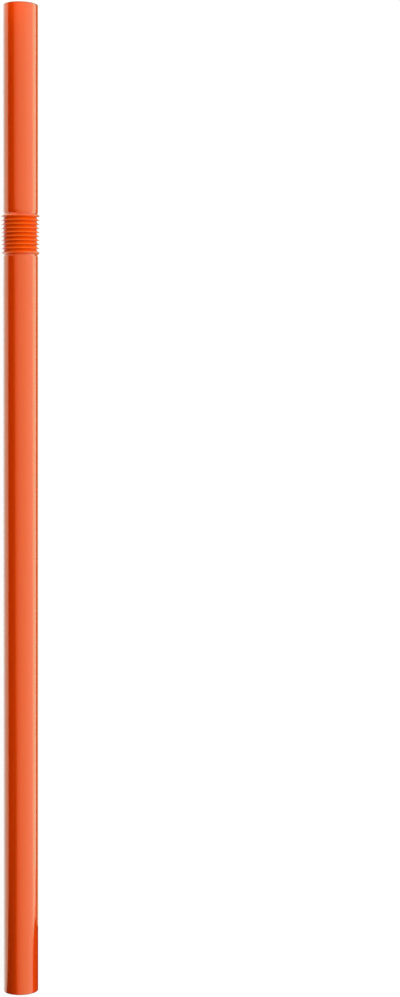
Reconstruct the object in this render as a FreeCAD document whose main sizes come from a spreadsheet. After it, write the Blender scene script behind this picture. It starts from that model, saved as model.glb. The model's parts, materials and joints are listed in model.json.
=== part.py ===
"""A flexible plastic drinking straw, lying on its side along Y, in millimetres.

The straw is one thin-walled tube, open at both ends. Near the mouth end its wall is pressed into a
bellows of ring pleats, pushed together as the straw is sold. The wall keeps its thickness from end to
end: a shoulder turns it in from each leg to a narrow neck, and each pleat takes it out by a steep flank
to a sharp fold at the ridge and back in by a longer, easier flank to the next groove.

Each stretch is a section drawn on the body's XY plane, where x is the distance from the straw's axis
and y runs along the straw from the start of that stretch, and is turned about the Y axis. The finished
straw is laid down with its ridges touching Z = 0 and its middle over the origin, the mouth at +Y.
"""

import FreeCAD
import Part

import math
import os
from types import SimpleNamespace

import Sketcher

SIZES = (
    ("long_leg", 161.7, "straight tube on the side of the drink"),
    ("short_leg", 44.6, "straight tube on the side of the mouth"),
    ("tube_radius", 3.8, "outside of both legs"),
    ("wall", 0.15, "thickness of the wall, in the legs and in the pleats"),
    ("shoulder_length", 0.4, "length over which the wall turns in from a leg to a neck"),
    ("shoulder_bend", 0.06, "inside radius of the two bends in a shoulder"),
    ("neck_land", 0.1, "straight neck between a shoulder and the nearest pleat"),
    ("pleat_count", 10, "ring pleats in the bellows"),
    ("pleat_pitch", 0.87, "from one groove to the next, pushed together"),
    ("steep_run", 0.31, "length along the straw that a pleat's steep flank takes"),
    ("ridge_rise", 0.42, "how far the ridges stand out from the legs"),
    ("groove_depth", 0.30, "how far the necks and the bottoms of the grooves lie below the legs"),
)

# Distances from the straw's axis
TUBE = "Sizes.tube_radius"
GROOVE = f"{TUBE} - Sizes.groove_depth"
RIDGE = f"{TUBE} + Sizes.ridge_rise"
ONE_WALL_IN = " - Sizes.wall"

# Where each stretch starts, from the end that stands in the drink
LONG_LEG = "0"
LOWER_SHOULDER = "Sizes.long_leg"
BELLOWS = f"{LOWER_SHOULDER} + Sizes.shoulder_length + Sizes.neck_land"
UPPER_NECK = f"{BELLOWS} + Sizes.pleat_count * Sizes.pleat_pitch"
SHORT_LEG = f"{UPPER_NECK} + Sizes.neck_land + Sizes.shoulder_length"
STRAW_LENGTH = f"{SHORT_LEG} + Sizes.short_leg"

# The points of a sketch curve, and the sketch's own x axis and origin
START, END, CENTRE = 1, 2, 3
X_AXIS, ORIGIN = -1, 1

# Which way an outline runs along one of its curves
ONWARD, BACKWARD = 1, -1

HALF_TURN = math.pi
FULL_TURN_DEG = 360


def size_sheet(doc):
    """The driving dimensions, one to a row: name, value and what it measures."""
    sheet = doc.addObject("Spreadsheet::Sheet", "Sizes")
    for row, (alias, value, meaning) in enumerate(SIZES, start=1):
        sheet.set(f"A{row}", alias)
        sheet.set(f"B{row}", str(value))
        sheet.setAlias(f"B{row}", alias)
        sheet.set(f"C{row}", meaning)
    doc.recompute()
    return sheet


def section_sketch(body, name, start, end_for_end=False):
    """An empty sketch on the body's XY plane, with its own y = 0 at a place along the straw. A section
    that is turned end for end runs from there towards the drink."""
    sketch = body.newObject("Sketcher::SketchObject", f"{name}_section")
    plane = next(feature for feature in body.Origin.OriginFeatures if feature.Role == "XY_Plane")
    sketch.AttachmentSupport = [(plane, "")]
    sketch.MapMode = "FlatFace"
    if end_for_end:
        turned = FreeCAD.Rotation(FreeCAD.Vector(0, 0, 1), FULL_TURN_DEG / 2)
        sketch.AttachmentOffset = FreeCAD.Placement(FreeCAD.Vector(), turned)
    sketch.setExpression("AttachmentOffset.Base.y", start)
    return sketch


def line(start, end):
    return Part.LineSegment(FreeCAD.Vector(*start, 0), FreeCAD.Vector(*end, 0))


def arc(centre, radius, from_angle, to_angle):
    """An arc that runs counterclockwise, its angles in radians from the +x direction."""
    circle = Part.Circle(FreeCAD.Vector(*centre, 0), FreeCAD.Vector(0, 0, 1), radius)
    return Part.ArcOfCircle(circle, from_angle, to_angle)


def on_circle(centre, radius, angle):
    return centre[0] + radius * math.cos(angle), centre[1] + radius * math.sin(angle)


def draw_outline(sketch, pieces):
    """Adds a closed outline. A piece is a curve, the way in which the outline runs along it, and how it
    meets the next piece: Coincident at a corner, Tangent where the two run smoothly together."""
    curves = [sketch.addGeometry(curve, False) for curve, _, _ in pieces]
    for number, (_, way, joint) in enumerate(pieces):
        following = (number + 1) % len(pieces)
        leaves = END if way == ONWARD else START
        enters = START if pieces[following][1] == ONWARD else END
        ends = (curves[number], leaves, curves[following], enters)
        sketch.addConstraint(Sketcher.Constraint(joint, *ends))
    return curves


def draw_polygon(sketch, corners):
    """Adds a closed outline of straight lines, and gives the lines in the order of their first corners."""
    sides = zip(corners, corners[1:] + corners[:1])
    return draw_outline(sketch, [(line(*side), ONWARD, "Coincident") for side in sides])


def hold(sketch, kind, *items):
    """Adds a constraint that has no size, such as Vertical, to each item: a curve, or the numbers that
    name several curves and points."""
    for item in items:
        named = item if isinstance(item, tuple) else (item,)
        sketch.addConstraint(Sketcher.Constraint(kind, *named))


def bind(sketch, name, kind, named, formula):
    """Adds a dimension that follows a formula of the sheet's cells."""
    value = float(sketch.evalExpression(formula))
    number = sketch.addConstraint(Sketcher.Constraint(kind, *named, value))
    sketch.renameConstraint(number, name)
    sketch.setExpression(f"Constraints.{name}", formula)


def bind_distance(sketch, name, curve, end, formula):
    """How far a point lies from the straw's axis."""
    bind(sketch, f"{name}_from_axis", "DistanceX", (X_AXIS, ORIGIN, curve, end), formula)


def bind_place(sketch, name, curve, end, formula):
    """How far along the straw a point lies, from the start of its stretch."""
    bind(sketch, f"{name}_along", "DistanceY", (X_AXIS, ORIGIN, curve, end), formula)


def put_at_start(sketch, *points):
    """Puts points on the line where the stretch starts."""
    hold(sketch, "PointOnObject", *((*point, X_AXIS) for point in points))


def turn(body, name, sketch):
    """Turns a section all the way round the straw's axis."""
    feature = body.newObject("PartDesign::Revolution", name)
    feature.Profile = sketch
    feature.ReferenceAxis = (sketch, ["V_Axis"])
    feature.Angle = FULL_TURN_DEG
    return feature


def leg(body, size, name, start):
    """A straight stretch of tube, as long as the size of its own name."""
    sketch = section_sketch(body, name, start)
    inside = size.tube_radius - size.wall
    length = getattr(size, name)
    corners = [(inside, 0), (size.tube_radius, 0), (size.tube_radius, length), (inside, length)]
    start_cut, outer, end_cut, inner = draw_polygon(sketch, corners)
    hold(sketch, "Horizontal", start_cut, end_cut)
    hold(sketch, "Vertical", outer, inner)
    put_at_start(sketch, (start_cut, START))
    bind_distance(sketch, "outside", start_cut, END, TUBE)
    bind_distance(sketch, "inside", end_cut, END, TUBE + ONE_WALL_IN)
    bind_place(sketch, "end", end_cut, END, f"Sizes.{name}")
    return turn(body, name, sketch)


def shoulder(body, size, name, start, end_for_end=False):
    """The wall's way in from a leg: a bend, a slope, a bend the other way and a straight neck."""
    sketch = section_sketch(body, name, start, end_for_end)
    tight = size.shoulder_bend
    wide = size.shoulder_bend + size.wall
    neck_start = size.shoulder_length
    neck_end = neck_start + size.neck_land
    neck_outside = size.tube_radius - size.groove_depth
    neck_inside = neck_outside - size.wall
    leg_centre = (size.tube_radius - wide, 0)
    neck_centre = (neck_outside + tight, neck_start)

    # The slope touches both bends, from opposite sides
    across = leg_centre[0] - neck_centre[0]
    apart = math.hypot(across, neck_start)
    leg_angle = math.atan2(across, neck_start) + math.asin((tight + wide) / apart)
    neck_angle = HALF_TURN + leg_angle
    outer_slope = (on_circle(leg_centre, wide, leg_angle), on_circle(neck_centre, tight, neck_angle))
    inner_slope = (on_circle(neck_centre, wide, neck_angle), on_circle(leg_centre, tight, leg_angle))

    curves = draw_outline(
        sketch,
        [
            (line((size.tube_radius - size.wall, 0), (size.tube_radius, 0)), ONWARD, "Coincident"),
            (arc(leg_centre, wide, 0, leg_angle), ONWARD, "Tangent"),
            (line(*outer_slope), ONWARD, "Tangent"),
            (arc(neck_centre, tight, HALF_TURN, neck_angle), BACKWARD, "Tangent"),
            (line((neck_outside, neck_start), (neck_outside, neck_end)), ONWARD, "Coincident"),
            (line((neck_outside, neck_end), (neck_inside, neck_end)), ONWARD, "Coincident"),
            (line((neck_inside, neck_end), (neck_inside, neck_start)), ONWARD, "Tangent"),
            (arc(neck_centre, wide, HALF_TURN, neck_angle), ONWARD, "Tangent"),
            (line(*inner_slope), ONWARD, "Tangent"),
            (arc(leg_centre, tight, 0, leg_angle), BACKWARD, "Coincident"),
        ],
    )
    start_cut, leg_wide, _, neck_tight, outer_neck = curves[:5]
    end_cut, inner_neck, neck_wide, _, leg_tight = curves[5:]
    hold(sketch, "Horizontal", end_cut)
    hold(sketch, "Vertical", outer_neck, inner_neck)
    put_at_start(sketch, (start_cut, START), (start_cut, END), (leg_wide, CENTRE))
    hold(sketch, "Coincident", (leg_tight, CENTRE, leg_wide, CENTRE), (neck_wide, CENTRE, neck_tight, CENTRE))
    for bend, tight_bend, wide_bend in (("leg", leg_tight, leg_wide), ("neck", neck_tight, neck_wide)):
        bind(sketch, f"{bend}_tight", "Radius", (tight_bend,), "Sizes.shoulder_bend")
        bind(sketch, f"{bend}_wide", "Radius", (wide_bend,), "Sizes.shoulder_bend + Sizes.wall")
    bind_distance(sketch, "leg", start_cut, END, TUBE)
    bind_distance(sketch, "neck", outer_neck, END, GROOVE)
    bind_place(sketch, "neck_start", outer_neck, START, "Sizes.shoulder_length")
    bind_place(sketch, "neck_end", outer_neck, END, "Sizes.shoulder_length + Sizes.neck_land")
    return turn(body, name, sketch)


def lean(groove, crease, wall):
    """How far a flank goes along the straw for each millimetre outwards. Its outside starts at the
    groove and passes the crease inside the ridge at one wall's distance."""
    out = crease[0] - groove[0]
    along = abs(crease[1] - groove[1])
    return math.tan(math.atan2(along, out) - math.asin(wall / math.hypot(out, along)))


def pleat(body, size, name, start):
    """One pleat, from a groove to the next. The wall is creased sharply on the inside of each fold, and
    the outside of the fold is a narrow land, also one wall from the crease."""
    sketch = section_sketch(body, name, start)
    groove_outside = size.tube_radius - size.groove_depth
    groove_inside = groove_outside - size.wall
    ridge = size.tube_radius + size.ridge_rise
    crease = (ridge - size.wall, size.steep_run)
    steep = (ridge - groove_outside) * lean((groove_outside, 0), crease, size.wall)
    easy = (ridge - groove_outside) * lean((groove_outside, size.pleat_pitch), crease, size.wall)

    corners = [
        (groove_inside, 0),
        (groove_outside, 0),
        (ridge, steep),
        (ridge, size.pleat_pitch - easy),
        (groove_outside, size.pleat_pitch),
        (groove_inside, size.pleat_pitch),
        (groove_inside, size.steep_run + easy),
        crease,
        (groove_inside, size.steep_run - steep),
    ]
    curves = draw_polygon(sketch, corners)
    start_cut, outer_steep, ridge_land, outer_easy, end_cut = curves[:5]
    next_land, inner_easy, inner_steep, first_land = curves[5:]
    hold(sketch, "Horizontal", end_cut)
    hold(sketch, "Vertical", ridge_land, next_land, first_land)
    hold(sketch, "Parallel", (inner_steep, outer_steep), (inner_easy, outer_easy))
    put_at_start(sketch, (start_cut, START), (start_cut, END))
    for flank_name, flank in (("steep", outer_steep), ("easy", outer_easy)):
        bind(sketch, f"{flank_name}_thickness", "Distance", (inner_steep, START, flank), "Sizes.wall")
    for groove_name, inside, outside in (
        ("first", (start_cut, START), (start_cut, END)),
        ("next", (end_cut, END), (end_cut, START)),
    ):
        bind_distance(sketch, f"{groove_name}_inside", *inside, GROOVE + ONE_WALL_IN)
        bind_distance(sketch, f"{groove_name}_outside", *outside, GROOVE)
    bind_distance(sketch, "ridge", ridge_land, START, RIDGE)
    bind_distance(sketch, "crease", inner_steep, START, RIDGE + ONE_WALL_IN)
    bind_place(sketch, "crease", inner_steep, START, "Sizes.steep_run")
    bind_place(sketch, "next_groove", end_cut, START, "Sizes.pleat_pitch")
    return turn(body, name, sketch)


def bellows(body, size):
    """The pleats, one pitch apart from the lower neck to the upper one."""
    first_pleat = pleat(body, size, "pleat", BELLOWS)
    pattern = body.newObject("PartDesign::LinearPattern", "bellows")
    pattern.Originals = [first_pleat]
    pattern.Direction = (first_pleat.Profile[0], ["V_Axis"])
    pattern.Mode = "Spacing"
    pattern.setExpression("Offset", "Sizes.pleat_pitch")
    pattern.setExpression("Occurrences", "Sizes.pleat_count")
    body.Tip = pattern
    return pattern


def straw(doc, size):
    """The whole straw, one moulded piece, from the drink end to the mouth end."""
    body = doc.addObject("PartDesign::Body", "straw")
    body.Label = "straw"
    leg(body, size, "long_leg", LONG_LEG)
    shoulder(body, size, "lower_shoulder", LOWER_SHOULDER)
    bellows(body, size)
    shoulder(body, size, "upper_shoulder", SHORT_LEG, end_for_end=True)
    body.Tip = leg(body, size, "short_leg", SHORT_LEG)
    body.setExpression("Placement.Base.y", f"-({STRAW_LENGTH}) / 2")
    body.setExpression("Placement.Base.z", RIDGE)
    return body


def check_model(doc, body):
    """Stops with a plain message if an object failed or the straw isn't one sound solid."""
    for thing in doc.Objects:
        if "Invalid" in thing.State or "Error" in thing.State:
            raise RuntimeError(f"{thing.Label} failed to recompute: {thing.State}")
    if body.Shape.isNull() or not body.Shape.isValid():
        raise RuntimeError(f"{body.Label} has no valid shape")
    if len(body.Shape.Solids) != 1:
        raise RuntimeError(f"{body.Label} is {len(body.Shape.Solids)} solids, not one")


def build():
    doc = FreeCAD.newDocument("drinking_straw")
    sheet = size_sheet(doc)
    size = SimpleNamespace(**{alias: float(sheet.get(alias)) for alias, _, _ in SIZES})
    body = straw(doc, size)
    doc.recompute()
    check_model(doc, body)
    os.makedirs("parts", exist_ok=True)
    body.Shape.exportStep(os.path.join("parts", f"{body.Label}.step"))
    box = body.Shape.optimalBoundingBox(False, False)
    print(f"{body.Label}: {box.XLength:.3f} x {box.YLength:.3f} x {box.ZLength:.3f} mm")
    print(f"{body.Label}: {body.Shape.Volume:.2f} mm3, lowest point at {box.ZMin:.4f} mm")


build()
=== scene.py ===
"""A flexible plastic drinking straw, lying on a pale floor and seen from above.

The straw is one lathed wall. Its outside is drawn as a line of straight runs with rounded folds, in
the plane of the straw's axis: a leg, a shoulder, the pleats of the bellows, a shoulder and a leg. The
inside is the same line moved inwards by the wall, with folds of its own. The legs, the wall and the
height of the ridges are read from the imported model. The bellows' other sizes, and the folds that are
too fine for that model, are named here. Lengths are in metres.
"""

import json
import math
import random
from types import SimpleNamespace

import bpy
import numpy as np
from mathutils import Matrix, Vector


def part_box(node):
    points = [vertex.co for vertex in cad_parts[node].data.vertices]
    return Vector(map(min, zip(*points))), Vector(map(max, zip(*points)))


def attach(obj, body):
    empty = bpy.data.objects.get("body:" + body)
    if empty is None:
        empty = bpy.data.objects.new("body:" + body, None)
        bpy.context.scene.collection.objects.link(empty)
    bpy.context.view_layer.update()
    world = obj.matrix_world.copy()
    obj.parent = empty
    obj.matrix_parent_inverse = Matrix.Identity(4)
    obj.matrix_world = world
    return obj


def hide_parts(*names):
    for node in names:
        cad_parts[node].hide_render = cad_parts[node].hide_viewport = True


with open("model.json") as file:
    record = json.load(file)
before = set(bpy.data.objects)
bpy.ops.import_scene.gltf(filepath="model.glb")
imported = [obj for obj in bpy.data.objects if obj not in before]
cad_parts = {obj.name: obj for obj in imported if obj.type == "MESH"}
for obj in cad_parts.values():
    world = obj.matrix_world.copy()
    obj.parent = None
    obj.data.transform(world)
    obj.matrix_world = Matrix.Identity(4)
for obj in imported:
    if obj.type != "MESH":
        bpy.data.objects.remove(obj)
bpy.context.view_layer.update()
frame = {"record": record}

MM = 0.001

# The bellows' own sizes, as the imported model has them
PLEATS = 10
GROOVE_DEPTH = 0.30 * MM
SHOULDER_LENGTH = 0.40 * MM
NECK_LAND = 0.10 * MM

# One pleat: how far from the pleat's start its thin fin stands, the fin's width, where the fin's feet
# lie (on the outside, and on the line that the inside is moved in from), how far up from the groove to
# the ridge the feet are, and how far below the fin the groove is deepest
FIN_PLACE = 0.39 * MM
FIN_TIP = 0.03 * MM
FIN_FEET = (-0.08 * MM, 0.10 * MM)
INNER_FEET = (-0.12 * MM, 0.17 * MM)
FOOT_RISE = 0.56
GROOVE_BELOW_FIN = 0.18 * MM

# The two end fins, rounder on the side of their leg, and the necks: how far they lie from the ends of
# the legs, and how far above the bottom of a groove
END_FIN_REACH = 0.13 * MM
END_FIN_FOLD = 0.20 * MM
LOWER_NECK = 0.34 * MM
UPPER_NECK = 0.50 * MM
NECK_RISE = 0.16 * MM

# Radius of the hollow side of a shoulder's two bends, of the outside of the other folds, of the crease
# inside a ridge, and of the edges of a cut end
SHOULDER_BEND = 0.06 * MM
GROOVE_FOLD = 0.12 * MM
FOOT_FOLD = 0.08 * MM
TIP_FOLD = 0.014 * MM
CREASE = 0.02 * MM
CUT_EDGE = 0.03 * MM

# How finely the wall is divided, and the slope up to which a run counts as part of a leg
SEGMENTS = 144
FOLD_STEP = math.radians(22.5)
LEAST_FOLD_STEPS = 2
LEG_STEP = 4.0 * MM
FLANK_STEP = 0.20 * MM
CUT_STEPS = 4
LEG_SLOPE = 0.001

# How far a real straw strays from a perfect one
SEED = 11
PLEAT_PLAY = 0.012 * MM
RING_LEAN = math.radians(1.0)
RING_NOD = math.radians(2.6)
LEAN_FADE = 0.6 * MM
OVALNESS = 0.006
RING_OVALNESS = 0.017
RINGS_ASIDE = -0.08 * MM

# How far the painted shade of a cut end reaches along the tube, and a fin's painted highlight below its tip
CUT_SHADE = 0.22 * MM
PALE_DEPTH = 0.25 * MM

# The camera, from the size and place of the straw in the photograph, with its sensor in millimetres
PHOTO_SIZE = (400, 997)
FOCAL_PIXELS = 1761.6
SENSOR = 36.0
CAMERA_PLACE = Vector((0.0393, 0.01584, 0.39022))
CAMERA_AIM = Vector((0.0393, 0.00108, 0.00422))
CAMERA_ROLL = 0.003415
NEAREST_SEEN = 0.01
FARTHEST_SEEN = 20.0

# Colours, as the light that they send back
ORANGE = (0.80, 0.055, 0.001, 1.0)
# Painted light: the pleats' orange is brighter than the legs'
PAINTED_LIGHT_PLEAT_ORANGE = (1.00, 0.132, 0.001, 1.0)
# Painted highlight near the fins' tips
TIP_HIGHLIGHT_ORANGE = (1.00, 0.23, 0.04, 1.0)
# Painted shade deep in the grooves, which is also the deeper tone that the uneven tint moves towards
GROOVE_SHADE_AND_TINT_ORANGE = (0.68, 0.060, 0.001, 1.0)
# Painted shade at the cut ends
CUT_SHADE_ORANGE = (0.30, 0.014, 0.001, 1.0)
INNER_SHEEN = (1.0, 0.40, 0.01, 1.0)
WHITE = (1.0, 1.0, 1.0, 1.0)
BLACK = (0.0, 0.0, 0.0, 1.0)

# The two plastics: plain colour, index of the coat, level of the sheen under it and least roughness
LEG_PLASTIC = (ORANGE, 1.6, 0.8, 0.12)
# The pleats' brighter orange is painted light
PLEAT_PLASTIC = (PAINTED_LIGHT_PLEAT_ORANGE, 1.12, 0.2, 0.30)

# What both plastics share: the scales of their patterns, how much these tint, roughen and bump the
# surface, and how light scatters under it
DIE_LINE_STRETCH = 0.02
DIE_LINE_SCALE = 2600.0
DIE_LINE_DETAIL = 3.0
CLOUD_SCALE = 240.0
SKIN_SCALE = 9000.0
PLAIN_DETAIL = 2.0
# How the painted shade gathers towards the bottom of a groove
GROOVE_SHADE_POWER = 2.0
TINT_GAIN = 0.20
TINT_START = -0.05
ROUGHNESS_GAIN = 0.10
SHEEN_IOR = 2.0
COAT_ROUGHNESS = 0.12
SCATTER_SHARE = 0.25
SCATTER_REACH = (1.0, 0.25, 0.08)
SCATTER_DEPTH = 0.25 * MM
SKIN_SHARE = 0.3
BUMP_STRENGTH = 0.12
BUMP_HEIGHT = 0.02 * MM

# The sockets of Blender's Mix node for two colours and for their mix
MIX_FIRST, MIX_SECOND, MIX_RESULT = 6, 7, 2

# The floor: half its width, its own white, and how much light it sends back where it is seen and where
# only soft light meets it
FLOOR_HALF = 3.0
FLOOR_WHITE = 0.92
FLOOR_SHADOWED = (0.11, 0.11, 0.11, 1.0)
FLOOR_LIT = (0.93, 0.93, 0.93, 1.0)

# The sky that reflections meet: the angle about the straw's axis from straight up towards +X, in
# degrees, and the light from there
SKY = (
    (-90, (0.40, 0.03, 0.00)),
    (-48, (0.22, 0.02, 0.00)),
    (-43, (0.24, 0.03, 0.00)),
    (-38, (0.45, 0.13, 0.07)),
    (-33, (0.83, 0.36, 0.22)),
    (-20, (0.95, 0.50, 0.46)),
    (-7, (0.92, 0.66, 0.74)),
    (7, (0.77, 0.78, 0.79)),
    (33, (0.66, 0.88, 1.00)),
    (62, (0.60, 1.08, 1.45)),
    (90, (0.60, 1.20, 1.60)),
)
SKY_SPAN = 90
SKY_MIDDLE = 0.5
BRIGHTEST = 2.0

# Towards the drink end the same light comes from further right: how much further, as a share of the
# sky, and the part of a direction along the straw at which the sky isn't turned
SKY_TURN = 35 / 180
SKY_TURN_FROM = 0.13

# Far towards either end the sky's left is pale too, and brighter towards the mouth: the part of a
# direction along the straw where that starts, how fast it comes and brightens, and the share of the
# sky that it takes its light from
PALE_ENDS_FROM = 0.40
PALE_ENDS_GAIN = 4.0
PALE_ENDS_GLINT = 22.0
PALE_SHARE = 0.42

# The sky's soft light: its level straight up, and what it gains from there to the right edge and loses
# to the left, where it doesn't go below nothing
SOFT_LEVEL = 0.89
SOFT_LEAN = 1.12

# Cards that the camera doesn't see, on the floor or upright, as corners in millimetres. Reflections
# meet all but the end card, which keeps soft light off instead. The black cards that reflections meet
# are painted dark reflections; the edge, near and shade cards are painted reflections of the straw's
# shade on the floor beside it; the pale, bright and far cards give light.
LEFT_CARD = ((-8, -111), (-19, -114), (-37, -116), (-100, -128), (-3000, -700), (-3000, -3000), (-8, -3000))
RIGHT_CARD = ((1, -95), (16, -95), (28, -101), (85, -123), (200, -150), (200, -300), (1, -300))
EDGE_SHADE_CARD = ((-1, 50), (-5.5, 50), (-5.5, -109), (-1, -109))
PALE_CARD = ((-5.5, 140), (-14, 140), (-14, -111), (-5.5, -109))
NEAR_SHADE_CARD = ((1, 140), (7.5, 140), (7.5, -80), (8.5, -95), (1, -95))
SHADE_CARD = ((7.5, 140), (11, 140), (11, -80), (13, -95), (8.5, -95), (7.5, -80))
BRIGHT_CARD = ((11, 200), (150, 200), (150, -135), (85, -123), (28, -101), (16, -92), (11, -80))
FAR_CARD = ((-2900, -900, 0), (-2900, 3000, 0), (-2900, 3000, 200), (-2900, -900, 200))
WING_CARD = ((-300, -270, 0), (-300, -170, 0), (-300, -170, 740), (-300, -270, 740))
END_CARD = ((-70, -124, 0), (5, -124, 0), (5, -124, 30), (-70, -124, 30))
# Painted reflections of the straw's shade on the floor beside it: the edge, near and shade colours
EDGE_SHADE_COLOUR = (0.85, 0.20, 0.14, 1.0)
PALE_COLOUR = (1.00, 1.25, 1.25, 1.0)
NEAR_SHADE_COLOUR = (0.42, 0.42, 0.22, 1.0)
SHADE_COLOUR = (0.00, 0.08, 0.05, 1.0)
BRIGHT_COLOUR = (0.30, 1.0, 1.05, 1.0)
BRIGHT_LEVEL = 1.9
CARD_HEIGHT = 0.05

# The lamps: place, the point that they are turned to, width and watts
UPPER_LAMP = ((-0.06, 0.30, 0.22), (0.0, 0.05, 0.0), 0.12, 0.14)
MOUTH_LAMP = ((-0.003, 0.117, 0.013), (0.0, 0.106, 0.007), 0.006, 0.0010)


def straw_sizes():
    """The straw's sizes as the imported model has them, in metres, with the axis of its tube."""
    mounts = {mount["name"]: mount for mount in frame["record"]["mounts"]}
    lowest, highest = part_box("straw")
    size = SimpleNamespace()
    size.tube = mounts["long_leg_outside"]["dims"]["r_mm"] * MM
    size.wall = size.tube - mounts["long_leg_bore"]["dims"]["r_mm"] * MM
    size.long_leg = mounts["long_leg_outside"]["dims"]["length_mm"] * MM
    size.short_leg = mounts["short_leg_outside"]["dims"]["length_mm"] * MM
    size.start = lowest.y
    size.length = highest.y - lowest.y
    size.ridge = (highest.z - lowest.z) / 2
    size.axis_height = (highest.z + lowest.z) / 2
    size.groove = size.tube - GROOVE_DEPTH
    bellows = size.length - size.long_leg - size.short_leg - 2 * (SHOULDER_LENGTH + NECK_LAND)
    size.pitch = bellows / PLEATS
    size.first_fin = size.long_leg + SHOULDER_LENGTH + NECK_LAND + FIN_PLACE
    size.last_fin = size.first_fin + (PLEATS - 1) * size.pitch
    return size


def pleat_corners(size, fin, feet):
    """The corners of one pleat with its fin at a place along the straw, as (distance from the axis,
    place along the straw, fold of the outside): its groove, its feet below and above, and its tip."""
    foot = size.groove + FOOT_RISE * (size.ridge - size.groove)
    groove = (size.groove, fin - GROOVE_BELOW_FIN, GROOVE_FOLD)
    below, above = ((foot, fin + place, FOOT_FOLD) for place in feet)
    tip = [(size.ridge, fin - FIN_TIP / 2, TIP_FOLD), (size.ridge, fin + FIN_TIP / 2, TIP_FOLD)]
    return groove, below, above, tip


def crossing(first, second, third, fourth):
    """Where the line through the first two points meets the line through the last two."""
    one, other = second - first, fourth - third
    share = (third - first).cross(other) / one.cross(other)
    return first + one * share


def all_corners(size, feet, sharp):
    """The corners of the outside, from leg to leg. The line that the inside is moved in from has wider
    feet and a sharp fin, with one corner where the outside has two."""
    chance = random.Random(SEED)
    wide = SHOULDER_BEND + size.wall
    upper_leg = size.length - size.short_leg
    neck = size.groove + NECK_RISE
    lower_neck = (neck, size.long_leg + LOWER_NECK, SHOULDER_BEND)
    upper_neck = (neck, upper_leg - UPPER_NECK, SHOULDER_BEND)
    corners = [(size.tube, size.long_leg, wide), lower_neck]
    for number in range(PLEATS):
        fin = size.first_fin + number * size.pitch + chance.uniform(-PLEAT_PLAY, PLEAT_PLAY)
        groove, below, above, tip = pleat_corners(size, fin, feet)
        lower, upper = [groove, below], [above]
        if number == 0:
            lower, below = [], lower_neck
            tip[0] = (size.ridge, fin - END_FIN_REACH, END_FIN_FOLD)
        if number == PLEATS - 1:
            upper, above = [], upper_neck
            tip[1] = (size.ridge, fin + END_FIN_REACH, END_FIN_FOLD)
        if sharp:
            ends = [Vector(corner[:2]) for corner in (below, tip[0], above, tip[1])]
            tip = [(*crossing(*ends), TIP_FOLD)]
        corners += [*lower, *tip, *upper]
    return corners + [upper_neck, (size.tube, upper_leg, wide)]


def folded_line(corners, start, end):
    """A line of straight runs through corners, each rounded by its fold, as a list of points."""
    places = [start, *(Vector(corner[:2]) for corner in corners), end]
    line = []
    leave = start
    for number, (_, _, fold) in enumerate(corners, start=1):
        before = (places[number] - places[number - 1]).normalized()
        after = (places[number + 1] - places[number]).normalized()
        swing = before.angle_signed(after)
        back = fold * math.tan(abs(swing) / 2)
        enter = places[number] - before * back
        line += divided(leave, enter, abs(before.x) < abs(before.y) * LEG_SLOPE)
        turns = max(LEAST_FOLD_STEPS, math.ceil(abs(swing) / FOLD_STEP))
        inward = Vector((-before.y, before.x)) if swing < 0 else Vector((before.y, -before.x))
        centre = enter + inward * fold
        line += [centre - turned(inward, -swing * count / turns) * fold for count in range(turns)]
        leave = places[number] + after * back
    return line + divided(leave, end, True) + [end]


def turned(vector, angle):
    """A plane vector turned by an angle."""
    cos, sin = math.cos(angle), math.sin(angle)
    return Vector((vector.x * cos - vector.y * sin, vector.x * sin + vector.y * cos))


def divided(start, end, on_leg):
    """Points along a straight run, with its first end but not its last."""
    step = LEG_STEP if on_leg else FLANK_STEP
    pieces = max(1, math.ceil((end - start).length / step))
    return [start.lerp(end, number / pieces) for number in range(pieces)]


def moved_in(corners, start, end, wall):
    """The corners of the inside: where the runs meet once each is moved inwards by the wall. A ridge
    folds over a narrow crease there, and a groove round the outside's fold and the wall."""
    places = [start, *(Vector(corner[:2]) for corner in corners), end]
    inside = []
    for number, (_, _, fold) in enumerate(corners, start=1):
        before = (places[number] - places[number - 1]).normalized()
        after = (places[number + 1] - places[number]).normalized()
        into_before = Vector((-before.y, before.x))
        into_after = Vector((-after.y, after.x))
        corner = places[number] + (into_before + into_after) * wall / (1 + into_before.dot(into_after))
        at_groove = before.angle_signed(after) > 0
        inside.append((*corner, fold + wall if at_groove else max(CREASE, fold - wall)))
    return inside


def cut_end(size, at, way):
    """The wall's cut end, from its outside to its inside, with a narrow round on both edges. The way is
    1 at the mouth and -1 at the end that stands in the drink."""
    points = []
    for from_axis, first in ((size.tube - CUT_EDGE, 0.0), (size.tube - size.wall + CUT_EDGE, 1.0)):
        for step in range(1, CUT_STEPS):
            angle = math.pi / 2 * (first + step / CUT_STEPS)
            out = CUT_EDGE * math.cos(angle)
            along = way * CUT_EDGE * (math.sin(angle) - 1.0)
            points.append(Vector((from_axis + out, at + along)))
    return points


def ringed_ends(line):
    """The line with a point more near each end, where the painted shade of the cut fades out."""
    fade = Vector((0.0, CUT_SHADE))
    return [line[0], line[0] + fade, *line[1:-1], line[-1] - fade, line[-1]]


def wall_loop(size):
    """The whole section of the wall as one closed loop of points."""
    start = Vector((size.tube, CUT_EDGE))
    end = Vector((size.tube, size.length - CUT_EDGE))
    inwards = Vector((-size.wall, 0.0))
    outside = all_corners(size, FIN_FEET, False)
    inside = moved_in(all_corners(size, INNER_FEET, True), start, end, size.wall)
    outer = ringed_ends(folded_line(outside, start, end))
    inner = ringed_ends(folded_line(inside, start + inwards, end + inwards))
    mouth = cut_end(size, size.length, 1)
    drink = cut_end(size, 0.0, -1)
    return outer + mouth + inner[::-1] + drink[::-1]


def point_values(mesh, name, values):
    """Gives the mesh a number for each ring of its points."""
    attribute = mesh.attributes.new(name, "FLOAT", "POINT")
    attribute.data.foreach_set("value", np.repeat(values, SEGMENTS).astype(np.float32))


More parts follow.
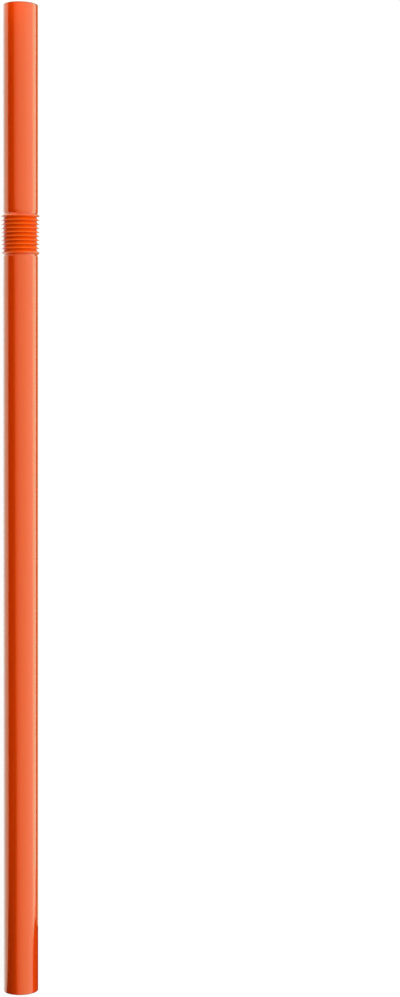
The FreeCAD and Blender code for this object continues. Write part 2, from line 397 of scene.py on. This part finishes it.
def point_places(size, from_axis, along, rise):
    """Where the points of all rings lie. The tube is a little oval. The rings of the bellows are more
    so, lean, nod and sit aside, which fades out towards the necks."""
    angles = np.linspace(0.0, 2 * math.pi, SEGMENTS, endpoint=False)
    lower_neck = size.long_leg + LOWER_NECK
    upper_neck = size.length - size.short_leg - UPPER_NECK
    from_neck = np.minimum(along - lower_neck, upper_neck - along)
    leaning = np.clip(from_neck / LEAN_FADE, 0.0, 1.0)[:, None]
    ovalness = OVALNESS + (RING_OVALNESS - OVALNESS) * leaning * rise[:, None]
    radius = from_axis[:, None] * (1.0 - ovalness * np.sin(angles) ** 2)
    x = radius * np.sin(angles) + leaning * RINGS_ASIDE
    up = radius * np.cos(angles)
    leaned = x * math.tan(RING_LEAN) - up * math.tan(RING_NOD)
    y = size.start + along[:, None] + leaning * leaned
    z = size.axis_height + up
    return np.stack([x, y, z], axis=-1).reshape(-1, 3)


def loop_faces(rings):
    """The faces between each ring of points and the next, and from the last ring to the first."""
    ring = np.arange(rings)[:, None] * SEGMENTS
    next_ring = (np.arange(rings)[:, None] + 1) % rings * SEGMENTS
    column = np.arange(SEGMENTS)[None, :]
    next_column = (column + 1) % SEGMENTS
    corners = [ring + column, next_ring + column, next_ring + next_column, ring + next_column]
    return np.stack(corners, axis=-1).reshape(-1, 4)


def straw_mesh(size):
    """The loop turned round the straw's axis. Values on its points tell how deep they lie in a groove,
    and how near they are to the tip of a fin and to a cut end, for the painted shade in the grooves and
    at the cut ends and the painted highlight on the tips."""
    loop = np.array([tuple(point) for point in wall_loop(size)])
    from_axis, along = loop[:, 0], loop[:, 1]
    rise = np.clip((from_axis - size.groove) / (size.ridge - size.groove), 0.0, 1.0)
    places = point_places(size, from_axis, along, rise)
    mesh = bpy.data.meshes.new("flexible_straw")
    mesh.from_pydata(places.tolist(), [], loop_faces(len(loop)).tolist())
    mesh.shade_smooth()
    between_fins = (along > size.first_fin) & (along < size.last_fin)
    # Painted shade in the grooves
    point_values(mesh, "groove_shade", np.where(between_fins, 1.0 - rise, 0.0))
    # Painted highlight near the fins' tips
    tip_highlight = np.clip(1.0 - (size.ridge - from_axis) / PALE_DEPTH, 0.0, 1.0)
    point_values(mesh, "tip_highlight", np.where(between_fins, tip_highlight, 0.0))
    # Painted shade near the cut ends
    to_cut = np.minimum(along, size.length - along) - CUT_EDGE
    point_values(mesh, "cut_end_shade", np.clip(1.0 - to_cut / CUT_SHADE, 0.0, 1.0))
    pressed = np.repeat(between_fins, SEGMENTS).astype(np.int32)
    mesh.polygons.foreach_set("material_index", pressed)
    return mesh


def new_material(name):
    material = bpy.data.materials.new(name)
    material.use_nodes = True
    nodes = material.node_tree.nodes
    nodes.clear()
    return material, nodes, material.node_tree.links


def feed(links, socket, value):
    """Gives a socket its value, which is a plain one or another node's output."""
    if isinstance(value, bpy.types.NodeSocket):
        links.new(value, socket)
    else:
        socket.default_value = value


def maths(nodes, links, operation, *values):
    """A Math node, its inputs numbers or other nodes' outputs."""
    node = nodes.new("ShaderNodeMath")
    node.operation = operation
    for socket, value in zip(node.inputs, values):
        feed(links, socket, value)
    return node.outputs[0]


def colour_mix(nodes, links, amount, first, second):
    """A Mix node between two colours. A colour is four numbers or another node's output."""
    node = nodes.new("ShaderNodeMix")
    node.data_type = "RGBA"
    feed(links, node.inputs["Factor"], amount)
    feed(links, node.inputs[MIX_FIRST], first)
    feed(links, node.inputs[MIX_SECOND], second)
    return node.outputs[MIX_RESULT]


def noise(nodes, links, place, scale, detail):
    node = nodes.new("ShaderNodeTexNoise")
    node.inputs["Scale"].default_value = scale
    node.inputs["Detail"].default_value = detail
    links.new(place, node.inputs["Vector"])
    return node.outputs[0]


def stretched(nodes, links, place, along):
    """The object's coordinates with the straw's length shrunk, so that a pattern runs along it."""
    node = nodes.new("ShaderNodeMapping")
    node.inputs["Scale"].default_value = (1.0, along, 1.0)
    links.new(place, node.inputs["Vector"])
    return node.outputs[0]


def point_value(nodes, name):
    node = nodes.new("ShaderNodeAttribute")
    node.attribute_name = name
    return node.outputs["Fac"]


def plastic(name, plain, coat_ior, level, smoothest):
    """Glossy orange polypropylene: faint lines from the die along the tube, a slightly uneven tint,
    painted shade in the grooves and where the straw is cut, and a painted highlight on the fins' tips."""
    material, nodes, links = new_material(name)
    place = nodes.new("ShaderNodeTexCoord").outputs["Object"]
    lengthwise = stretched(nodes, links, place, DIE_LINE_STRETCH)
    die_lines = noise(nodes, links, lengthwise, DIE_LINE_SCALE, DIE_LINE_DETAIL)
    clouds = noise(nodes, links, place, CLOUD_SCALE, PLAIN_DETAIL)
    skin = noise(nodes, links, place, SKIN_SCALE, PLAIN_DETAIL)

    # Painted shade, deepest in the grooves, with the uneven tint added to it
    deep = maths(nodes, links, "POWER", point_value(nodes, "groove_shade"), GROOVE_SHADE_POWER)
    tint = maths(nodes, links, "MULTIPLY_ADD", clouds, TINT_GAIN, TINT_START)
    tint_and_groove_shade = maths(nodes, links, "ADD", deep, tint)
    tint_and_groove_shaded = colour_mix(nodes, links, tint_and_groove_shade, plain, GROOVE_SHADE_AND_TINT_ORANGE)
    # Painted highlight near the fins' tips
    tip_highlighted = colour_mix(nodes, links, point_value(nodes, "tip_highlight"), tint_and_groove_shaded, TIP_HIGHLIGHT_ORANGE)
    # Painted shade near the cut ends
    colour = colour_mix(nodes, links, point_value(nodes, "cut_end_shade"), tip_highlighted, CUT_SHADE_ORANGE)

    shader = nodes.new("ShaderNodeBsdfPrincipled")
    links.new(colour, shader.inputs["Base Color"])
    rough = maths(nodes, links, "MULTIPLY_ADD", die_lines, ROUGHNESS_GAIN, smoothest)
    links.new(rough, shader.inputs["Roughness"])
    shader.inputs["IOR"].default_value = SHEEN_IOR
    shader.inputs["Specular IOR Level"].default_value = level
    shader.inputs["Specular Tint"].default_value = INNER_SHEEN
    shader.inputs["Coat Weight"].default_value = 1.0
    shader.inputs["Coat IOR"].default_value = coat_ior
    shader.inputs["Coat Roughness"].default_value = COAT_ROUGHNESS
    shader.inputs["Subsurface Weight"].default_value = SCATTER_SHARE
    shader.inputs["Subsurface Radius"].default_value = SCATTER_REACH
    shader.inputs["Subsurface Scale"].default_value = SCATTER_DEPTH

    height = maths(nodes, links, "MULTIPLY_ADD", skin, SKIN_SHARE, die_lines)
    bump = nodes.new("ShaderNodeBump")
    bump.inputs["Strength"].default_value = BUMP_STRENGTH
    bump.inputs["Distance"].default_value = BUMP_HEIGHT
    links.new(height, bump.inputs["Height"])
    links.new(bump.outputs["Normal"], shader.inputs["Normal"])

    output = nodes.new("ShaderNodeOutputMaterial")
    links.new(shader.outputs["BSDF"], output.inputs["Surface"])
    return material


def seen_directly(nodes, links):
    """1 for what the camera sees, straight or by a reflection or through something, and else 0."""
    path = nodes.new("ShaderNodeLightPath").outputs
    mirrored = maths(nodes, links, "MAXIMUM", path["Is Glossy Ray"], path["Is Transmission Ray"])
    return maths(nodes, links, "MAXIMUM", path["Is Camera Ray"], mirrored)


def floor_material():
    """A pale floor, mostly white of its own where it is seen, with a little of the light that falls on
    it, so that the straw's soft shadow stays. Soft light meets a plain white floor."""
    material, nodes, links = new_material("pale_floor")
    white = nodes.new("ShaderNodeEmission")
    white.inputs["Strength"].default_value = FLOOR_WHITE
    shadowed = nodes.new("ShaderNodeBsdfDiffuse")
    shadowed.inputs["Color"].default_value = FLOOR_SHADOWED
    both = nodes.new("ShaderNodeAddShader")
    links.new(white.outputs[0], both.inputs[0])
    links.new(shadowed.outputs[0], both.inputs[1])
    lit = nodes.new("ShaderNodeBsdfDiffuse")
    lit.inputs["Color"].default_value = FLOOR_LIT
    mix = nodes.new("ShaderNodeMixShader")
    links.new(seen_directly(nodes, links), mix.inputs[0])
    links.new(lit.outputs[0], mix.inputs[1])
    links.new(both.outputs[0], mix.inputs[2])
    output = nodes.new("ShaderNodeOutputMaterial")
    links.new(mix.outputs[0], output.inputs["Surface"])
    return material


def floor():
    signs = ((-1, -1), (1, -1), (1, 1), (-1, 1))
    corners = [(FLOOR_HALF * x, FLOOR_HALF * y, 0.0) for x, y in signs]
    mesh = bpy.data.meshes.new("floor")
    mesh.from_pydata(corners, [], [(0, 1, 2, 3)])
    mesh.materials.append(floor_material())
    thing = bpy.data.objects.new("floor", mesh)
    bpy.context.scene.collection.objects.link(thing)


def background(nodes, links, colour, strength):
    """A Background node. Its colour and its strength are values or other nodes' outputs."""
    node = nodes.new("ShaderNodeBackground")
    feed(links, node.inputs["Color"], colour)
    feed(links, node.inputs["Strength"], strength)
    return node.outputs[0]


def shader_mix(nodes, links, amount, first, second):
    node = nodes.new("ShaderNodeMixShader")
    for socket, value in zip(node.inputs, (amount, first, second)):
        links.new(value, socket)
    return node.outputs[0]


def mirrored_sky(nodes, links, parts):
    """The sky that reflections meet: dark orange on the left and bluish white on the right. The share
    of the way from left to right sets its light, from the parts of a direction."""
    angle = maths(nodes, links, "ARCTAN2", parts["X"], parts["Z"])
    whole = math.radians(2 * SKY_SPAN)
    across = maths(nodes, links, "MULTIPLY_ADD", angle, 1 / whole, SKY_MIDDLE - SKY_TURN * SKY_TURN_FROM)
    turned_share = maths(nodes, links, "MULTIPLY_ADD", parts["Y"], SKY_TURN, across)
    lengthwise = maths(nodes, links, "ABSOLUTE", parts["Y"])
    past = maths(nodes, links, "SUBTRACT", lengthwise, PALE_ENDS_FROM)
    gained = maths(nodes, links, "MULTIPLY", maths(nodes, links, "MAXIMUM", past, 0.0), PALE_ENDS_GAIN)
    ahead = maths(nodes, links, "MINIMUM", gained, 1.0)
    short = maths(nodes, links, "SUBTRACT", PALE_SHARE, turned_share)
    lift = maths(nodes, links, "MULTIPLY", maths(nodes, links, "MAXIMUM", short, 0.0), ahead)
    share = maths(nodes, links, "ADD", turned_share, lift)
    at_mouth = maths(nodes, links, "GREATER_THAN", parts["Y"], 0.0)
    glint = maths(nodes, links, "MULTIPLY", lift, at_mouth)
    level = maths(nodes, links, "MULTIPLY_ADD", glint, PALE_ENDS_GLINT, BRIGHTEST)
    ramp = nodes.new("ShaderNodeValToRGB")
    links.new(share, ramp.inputs[0])
    elements = ramp.color_ramp.elements
    while len(elements) < len(SKY):
        elements.new(SKY_MIDDLE)
    for element, (degrees, light) in zip(elements, SKY):
        element.position = (degrees + SKY_SPAN) / (2 * SKY_SPAN)
        element.color = (*(part / BRIGHTEST for part in light), 1.0)
    return background(nodes, links, ramp.outputs[0], level)


def sky():
    """A studio sky, white to the camera. Its soft light comes mostly from the right."""
    world = bpy.data.worlds.new("studio")
    bpy.context.scene.world = world
    world.use_nodes = True
    nodes, links = world.node_tree.nodes, world.node_tree.links
    nodes.clear()
    direction = nodes.new("ShaderNodeTexCoord").outputs["Generated"]
    separate = nodes.new("ShaderNodeSeparateXYZ")
    links.new(direction, separate.inputs[0])
    parts = separate.outputs
    mirrored = mirrored_sky(nodes, links, parts)
    leaning = maths(nodes, links, "MULTIPLY_ADD", parts["X"], SOFT_LEAN, SOFT_LEVEL)
    soft = background(nodes, links, WHITE, maths(nodes, links, "MAXIMUM", leaning, 0.0))
    path = nodes.new("ShaderNodeLightPath").outputs
    light = shader_mix(nodes, links, path["Is Glossy Ray"], soft, mirrored)
    seen = shader_mix(nodes, links, path["Is Camera Ray"], light, background(nodes, links, WHITE, 1.0))
    output = nodes.new("ShaderNodeOutputWorld")
    links.new(seen, output.inputs["Surface"])


def emission_material(name, colour, strength):
    material, nodes, links = new_material(name)
    light = nodes.new("ShaderNodeEmission")
    light.inputs["Color"].default_value = colour
    light.inputs["Strength"].default_value = strength
    output = nodes.new("ShaderNodeOutputMaterial")
    links.new(light.outputs[0], output.inputs["Surface"])
    return material


def card(name, outline, colour, strength, mirrored=True):
    """A studio card, out of the camera's sight, which is either mirrored or keeps soft light off. A
    corner without a height lies on the floor."""
    corners = [Vector((*corner, CARD_HEIGHT)[:3]) * MM for corner in outline]
    mesh = bpy.data.meshes.new(name)
    mesh.from_pydata(corners, [], [tuple(range(len(outline)))])
    mesh.materials.append(emission_material(name, colour, strength))
    thing = bpy.data.objects.new(name, mesh)
    thing.visible_camera = False
    thing.visible_glossy = mirrored
    thing.visible_diffuse = not mirrored
    thing.visible_shadow = not mirrored
    bpy.context.scene.collection.objects.link(thing)


# Black cards that reflections meet are painted dark reflections; the edge, near and shade cards are painted
# reflections of the straw's shade on the floor beside it
def cards():
    card("left_card", LEFT_CARD, BLACK, 0.0)
    card("right_card", RIGHT_CARD, BLACK, 0.0)
    card("edge_shade_card", EDGE_SHADE_CARD, EDGE_SHADE_COLOUR, 1.0)
    card("pale_card", PALE_CARD, PALE_COLOUR, 1.0)
    card("near_shade_card", NEAR_SHADE_CARD, NEAR_SHADE_COLOUR, 1.0)
    card("shade_card", SHADE_CARD, SHADE_COLOUR, 1.0)
    card("bright_card", BRIGHT_CARD, BRIGHT_COLOUR, BRIGHT_LEVEL)
    card("far_card", FAR_CARD, WHITE, 1.0)
    card("wing_card", WING_CARD, BLACK, 0.0)
    card("end_card", END_CARD, BLACK, 0.0, mirrored=False)


def lamp(name, place, aim, across, watts):
    """A square soft lamp that isn't seen, also not in reflections."""
    data = bpy.data.lights.new(name, "AREA")
    data.shape = "RECTANGLE"
    data.size = across
    data.size_y = across
    data.energy = watts
    thing = bpy.data.objects.new(name, data)
    thing.location = Vector(place)
    thing.rotation_euler = (Vector(aim) - Vector(place)).to_track_quat("-Z", "Y").to_euler()
    thing.visible_camera = False
    thing.visible_glossy = False
    bpy.context.scene.collection.objects.link(thing)


def lamps():
    """One over the mouth end, and a small one that shines into the mouth and over its rim."""
    lamp("upper_lamp", *UPPER_LAMP)
    lamp("mouth_lamp", *MOUTH_LAMP)


def camera():
    data = bpy.data.cameras.new("camera")
    data.sensor_width = SENSOR
    data.lens = FOCAL_PIXELS * SENSOR / max(PHOTO_SIZE)
    data.clip_start = NEAREST_SEEN
    data.clip_end = FARTHEST_SEEN
    thing = bpy.data.objects.new("camera", data)
    back = (CAMERA_PLACE - CAMERA_AIM).normalized()
    right = Vector((0.0, 1.0, 0.0)).cross(back).normalized()
    up = back.cross(right)
    turn = Matrix((right, up, back)).transposed() @ Matrix.Rotation(CAMERA_ROLL, 3, "Z")
    thing.matrix_world = Matrix.Translation(CAMERA_PLACE) @ turn.to_4x4()
    bpy.context.scene.collection.objects.link(thing)
    bpy.context.scene.camera = thing


def straw():
    mesh = straw_mesh(straw_sizes())
    mesh.materials.append(plastic("orange_polypropylene", *LEG_PLASTIC))
    # The pleats' plastic, whose brighter orange is painted light
    mesh.materials.append(plastic("pressed_polypropylene_with_painted_light", *PLEAT_PLASTIC))
    mesh.validate()
    thing = bpy.data.objects.new("flexible_straw", mesh)
    bpy.context.scene.collection.objects.link(thing)
    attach(thing, "root")
    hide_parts("straw")


bpy.context.scene.view_settings.view_transform = "Standard"
camera()
sky()
floor()
cards()
lamps()
straw()
